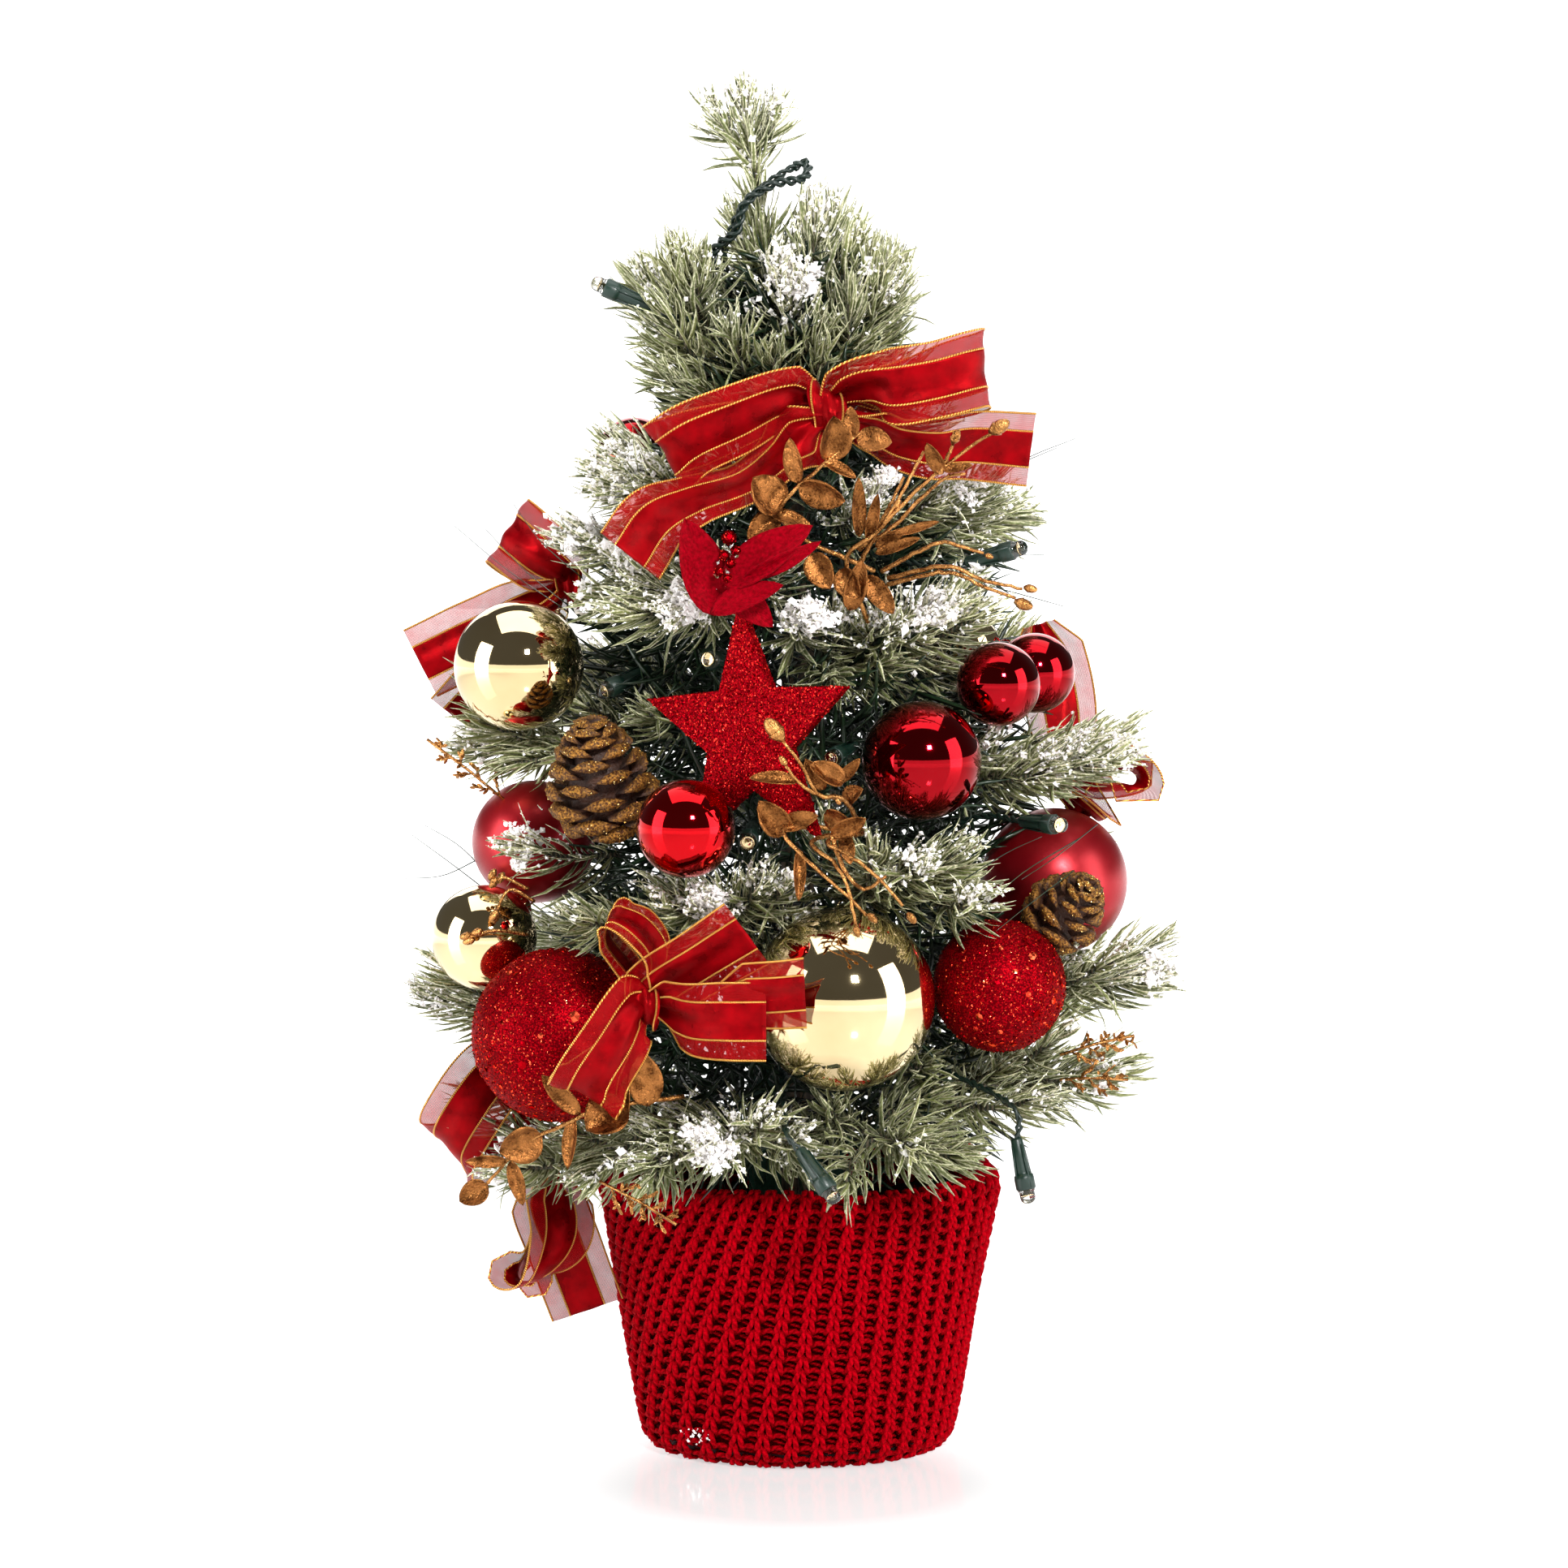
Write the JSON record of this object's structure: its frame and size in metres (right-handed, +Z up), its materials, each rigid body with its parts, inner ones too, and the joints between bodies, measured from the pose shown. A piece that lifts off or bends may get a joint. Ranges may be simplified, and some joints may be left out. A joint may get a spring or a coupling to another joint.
{
  "type": "artificial tabletop tree",
  "caption": "Small artificial fir in a knitted pot cover, with wire-cored branches, baubles, cones, star, ribbon bows, gilded sprays and a battery light string.",
  "frame": {"origin": "middle of the flat base, on the surface that the pot stands on", "axes": "+Z up along the pole, the dressed front faces -Y, +X to the right of a viewer at the front"},
  "size_m": [0.255, 0.2332, 0.4494],
  "materials": {
    "knit_wool": "matt knitted rib",
    "pot_plastic": "matt",
    "plaster": "matt, cast",
    "pole_wood": "turned, stained",
    "foliage": "cut film needles with frosted edges and loose white flock",
    "gold_shine": "mirror metallised",
    "red_shine": "mirror metallised",
    "red_matte": "satin metallised",
    "red_glitter": "glued glitter",
    "star_glitter": "fine glitter on card",
    "cone_brown": "natural scales with glitter on the tips",
    "gilt_spray": "metallic gilt paint",
    "ribbon_red": "satin stripe between sheer stripes with metallic thread lines",
    "petal_red": "flocked cloth",
    "cable_green": "satin",
    "box_green": "moulded, fine grain",
    "switch_black": "moulded",
    "cell_grey": "plain sleeve"
  },
  "bodies": {
    "tree": {"knit_cover": "knit_wool", "pot": "pot_plastic", "ballast": "plaster", "pole": "pole_wood", "leader": "foliage", "bauble_glitter_left": "red_glitter", "bauble_glitter_right": "red_glitter", "bauble_gold_large": "gold_shine", "bauble_gold_low_left": "gold_shine", "bauble_gold_upper_left": "gold_shine", "bauble_gold_upper_right": "gold_shine", "bauble_matte_left": "red_matte", "bauble_matte_right": "red_matte", "bauble_red_mid": "red_shine", "bauble_red_right_back": "red_shine", "bauble_red_right_front": "red_shine", "bauble_red_small_left": "red_shine", "bauble_red_upper_left": "red_shine", "pine_cone_left": "cone_brown", "pine_cone_right": "cone_brown", "star": "star_glitter", "poinsettia": "petal_red", "bow_top": "ribbon_red", "bow_left": "ribbon_red", "bow_front": "ribbon_red", "bow_low_left": "ribbon_red", "bow_right": "ribbon_red", "spray_leaves_top": "gilt_spray", "spray_berries_right": "gilt_spray", "spray_berries_front": "gilt_spray", "spray_leaves_low": "gilt_spray", "light_string": "cable_green", "battery_box": "box_green", "battery_left": "cell_grey", "battery_right": "cell_grey", "branch_upper_left": "foliage", "branch_upper_right": "foliage", "branch_mid_front_left": "foliage", "branch_mid_front_right": "foliage", "branch_low_front": "foliage", "branch_low_front_right": "foliage", "branch_base_right": "foliage", "branch_base_front_right": "foliage", "branch_base_front_left": "foliage", "branch_base_left": "foliage"},
    "branch_top_left": {"branch_top_left": "foliage"},
    "branch_top_right": {"branch_top_right": "foliage"},
    "branch_mid_left": {"branch_mid_left": "foliage"},
    "branch_mid_right": {"branch_mid_right": "foliage"},
    "branch_low_right": {"branch_low_right": "foliage"},
    "branch_low_left": {"branch_low_left": "foliage"},
    "branch_back_upper": {"branch_back_upper": "foliage"},
    "branch_back_mid_left": {"branch_back_mid_left": "foliage"},
    "branch_back_mid_right": {"branch_back_mid_right": "foliage"},
    "branch_back_mid": {"branch_back_mid": "foliage"},
    "branch_back_low_left": {"branch_back_low_left": "foliage"},
    "branch_back_low_right": {"branch_back_low_right": "foliage"},
    "leader_tip": {"leader_tip": "foliage"},
    "battery_lid": {"battery_lid": "box_green"},
    "switch_knob": {"switch_knob": "switch_black"}
  },
  "joints": [
    {"name": "top_left_swing", "type": "hinge", "parent": "tree", "child": "branch_top_left", "pos_m": [-0.00691, -0.00113, 0.326], "axis": [0, 0, 1], "range_deg": [-20, 20]},
    {"name": "top_right_bend", "type": "hinge", "parent": "tree", "child": "branch_top_right", "pos_m": [0.00687, -0.00133, 0.328], "axis": [-0.19, -0.9818, 0], "range_deg": [-20, 12]},
    {"name": "mid_left_swing", "type": "hinge", "parent": "tree", "child": "branch_mid_left", "pos_m": [-0.00695, -0.00084, 0.2359], "axis": [0, 0, 1], "range_deg": [-25, 10]},
    {"name": "mid_right_swing", "type": "hinge", "parent": "tree", "child": "branch_mid_right", "pos_m": [0.00676, -0.00181, 0.21527], "axis": [0, 0, 1], "range_deg": [-12, 8]},
    {"name": "low_right_swing", "type": "hinge", "parent": "tree", "child": "branch_low_right", "pos_m": [0.00685, -0.00144, 0.14199], "axis": [0, 0, 1], "range_deg": [-8, 25]},
    {"name": "low_left_swing", "type": "hinge", "parent": "tree", "child": "branch_low_left", "pos_m": [-0.00692, -0.00108, 0.12571], "axis": [0, 0, 1], "range_deg": [-25, 8]},
    {"name": "back_upper_bend", "type": "hinge", "parent": "tree", "child": "branch_back_upper", "pos_m": [0.00039, 0.00699, 0.29927], "axis": [0.9985, -0.0555, 0], "range_deg": [-20, 20]},
    {"name": "back_mid_left_bend", "type": "hinge", "parent": "tree", "child": "branch_back_mid_left", "pos_m": [-0.00522, 0.00466, 0.23093], "axis": [0.6656, 0.7463, 0], "range_deg": [-15, 20]},
    {"name": "back_mid_right_bend", "type": "hinge", "parent": "tree", "child": "branch_back_mid_right", "pos_m": [0.00535, 0.00451, 0.2209], "axis": [0.6441, -0.7649, 0], "range_deg": [-15, 20]},
    {"name": "back_mid_bend", "type": "hinge", "parent": "tree", "child": "branch_back_mid", "pos_m": [0.00027, 0.00699, 0.18897], "axis": [0.9993, -0.0384, 0], "range_deg": [-12, 20]},
    {"name": "back_low_left_bend", "type": "hinge", "parent": "tree", "child": "branch_back_low_left", "pos_m": [-0.0054, 0.00446, 0.15756], "axis": [0.6369, 0.771, 0], "range_deg": [-10, 20]},
    {"name": "back_low_right_bend", "type": "hinge", "parent": "tree", "child": "branch_back_low_right", "pos_m": [0.0054, 0.00446, 0.14724], "axis": [0.6369, -0.771, 0], "range_deg": [-10, 20]},
    {"name": "leader_tip_bend", "type": "hinge", "parent": "tree", "child": "leader_tip", "pos_m": [-0.0145, -0.003, 0.4175], "axis": [0, 1, 0], "range_deg": [-25, 25]},
    {"name": "lid_slide", "type": "slide", "parent": "tree", "child": "battery_lid", "axis": [0, 0, 1], "range_m": [0, 0.05]},
    {"name": "switch_slide", "type": "slide", "parent": "tree", "child": "switch_knob", "axis": [1, 0, 0], "range_m": [0, 0.003]}
  ]
}
